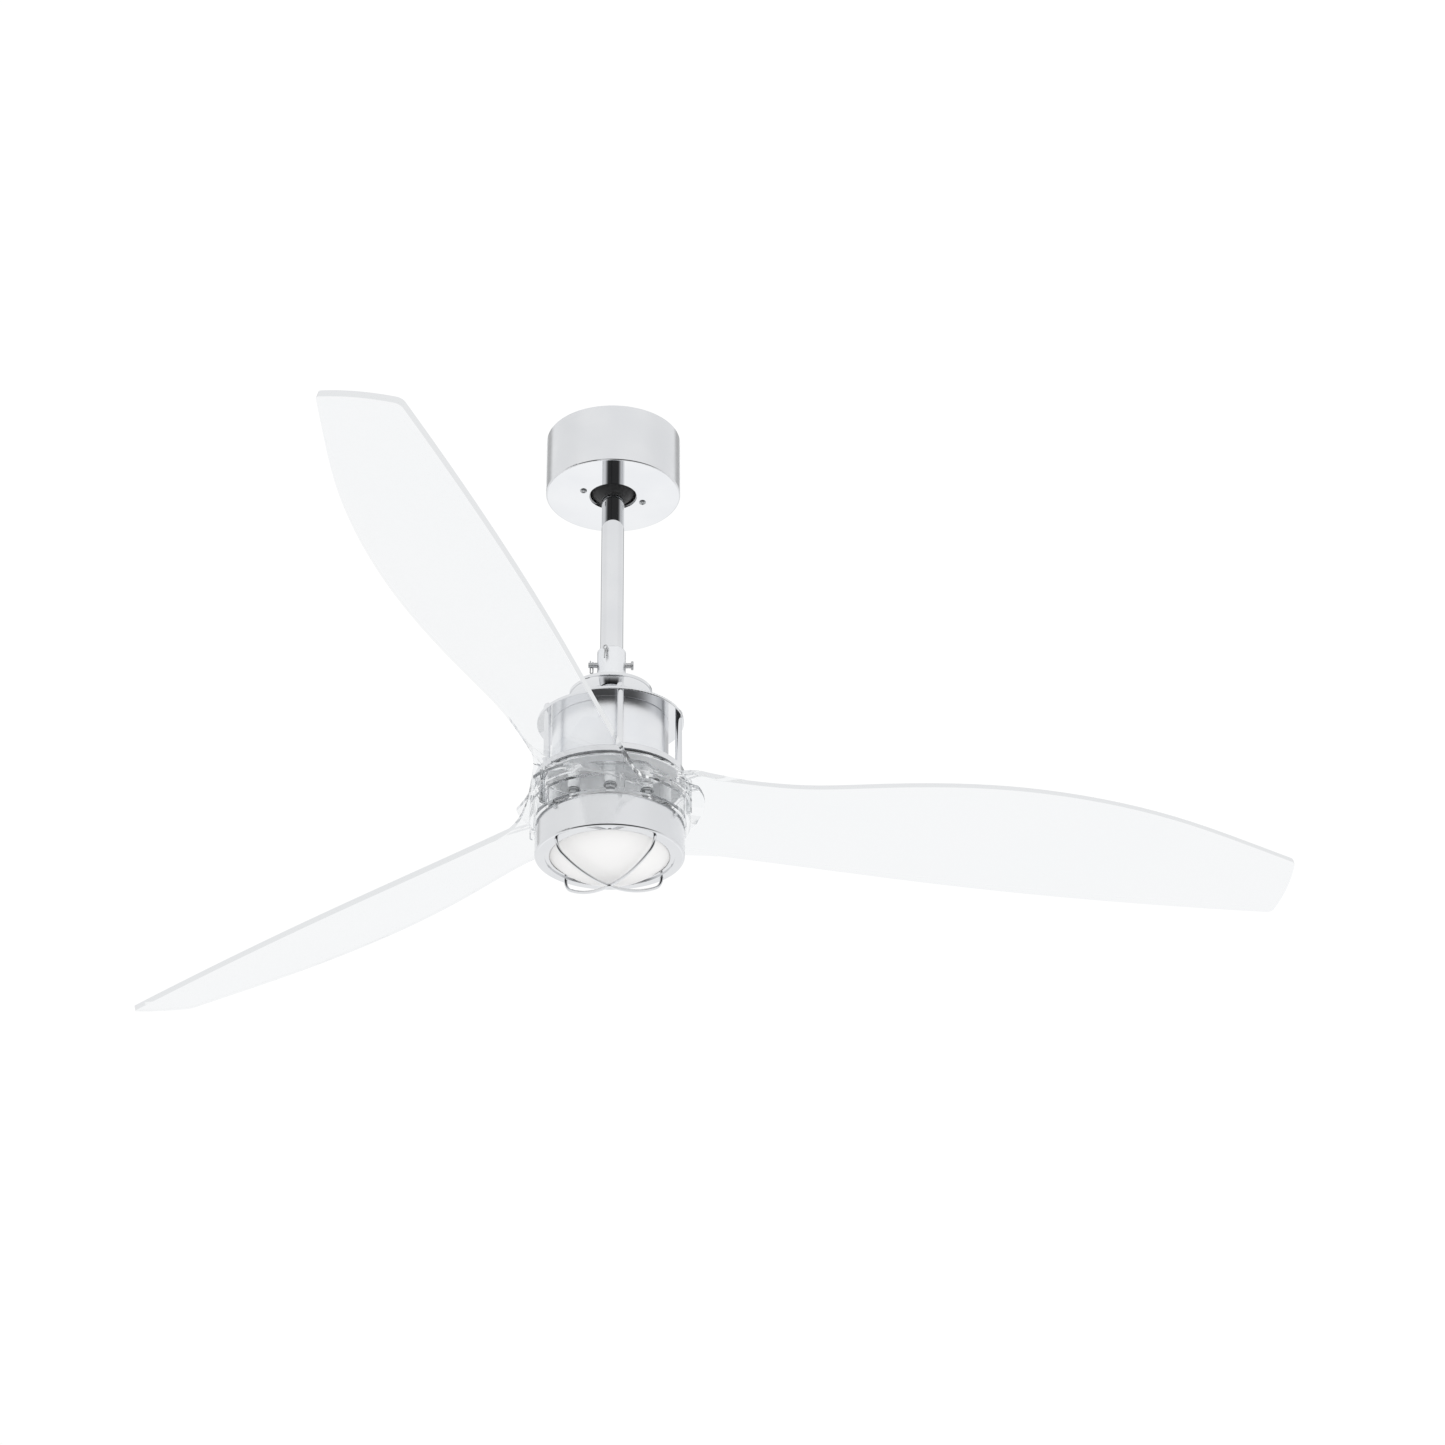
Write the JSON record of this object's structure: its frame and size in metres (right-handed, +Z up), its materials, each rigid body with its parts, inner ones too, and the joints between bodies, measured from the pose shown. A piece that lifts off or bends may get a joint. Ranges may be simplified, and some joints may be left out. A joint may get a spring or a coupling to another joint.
{
  "type": "ceiling fan",
  "caption": "Ceiling fan with clear pitched blades, a caged drum motor on a short chrome rod and a round light with an opal glass under a wire guard.",
  "frame": {"origin": "on the fan axis at the ceiling plane, the centre of the two slots in the ceiling bracket's plate", "axes": "+Z up along the fan axis into the ceiling, +X along blade 1 at rest, the bracket's slots lie along Y"},
  "size_m": [0.9867, 1.1331, 0.453],
  "materials": {
    "zinc_steel": "zinc plated",
    "chrome": "polished chrome",
    "satin_aluminium": "satin",
    "black_rubber": "matte black",
    "clear_plastic": "clear polycarbonate, polished",
    "opal_glass": "frosted opal",
    "dark_plastic": "moulded",
    "copper": "enamelled copper wire",
    "iron": "laminated and sintered iron",
    "bearing_steel": "ground",
    "white_board": "white solder mask on aluminium",
    "led_yellow": "phosphor"
  },
  "bodies": {
    "ceiling_mount": {"ceiling_bracket": "zinc_steel", "canopy": "chrome", "canopy_screws": "zinc_steel", "terminal_block": "dark_plastic", "receiver_module": "dark_plastic"},
    "hanger": {"hanger_ball": "black_rubber", "ball_pin": "zinc_steel", "downrod": "chrome", "coupling_collar": "satin_aluminium", "clevis_pin": "zinc_steel", "pin_clip": "zinc_steel", "split_pin": "zinc_steel", "yoke_cover": "chrome", "neck_spacer": "chrome", "hollow_shaft": "zinc_steel", "cage_top_plate": "chrome", "cage_posts": "chrome", "cap_nuts": "chrome", "lower_ring": "chrome", "motor_housing": "satin_aluminium", "housing_screws": "zinc_steel", "stator_core": "iron", "stator_windings": "copper", "bearing_inner_rings": "bearing_steel", "light_spacer": "zinc_steel", "light_plate": "zinc_steel", "shaft_nut": "zinc_steel", "light_band": "chrome", "band_screws": "zinc_steel", "led_driver": "dark_plastic", "board_standoffs": "zinc_steel", "led_board": "white_board", "led_chips": "led_yellow", "glass_dome": "opal_glass", "glass_clips": "zinc_steel", "wire_guard": "chrome", "guard_nuts": "zinc_steel"},
    "rotor": {"rotor_shell": "zinc_steel", "rotor_top_cover": "zinc_steel", "magnet_ring": "iron", "bearing_outer_rings": "bearing_steel", "bearing_balls": "bearing_steel", "rotor_plate": "chrome", "plate_screws": "zinc_steel", "blade_hub": "satin_aluminium", "blade_sleeves": "satin_aluminium", "blade_1": "clear_plastic", "blade_2": "clear_plastic", "blade_3": "clear_plastic", "blade_screws": "zinc_steel"}
  },
  "joints": [
    {"name": "hanger_swing", "type": "hinge", "parent": "ceiling_mount", "child": "hanger", "pos_m": [0, 0, -0.0384], "axis": [1, 0, 0], "range_deg": [-18, 18]},
    {"name": "rotor_spin", "type": "hinge", "parent": "hanger", "child": "rotor", "pos_m": [0, 0, -0.372], "axis": [0, 0, 1], "continuous": true}
  ]
}
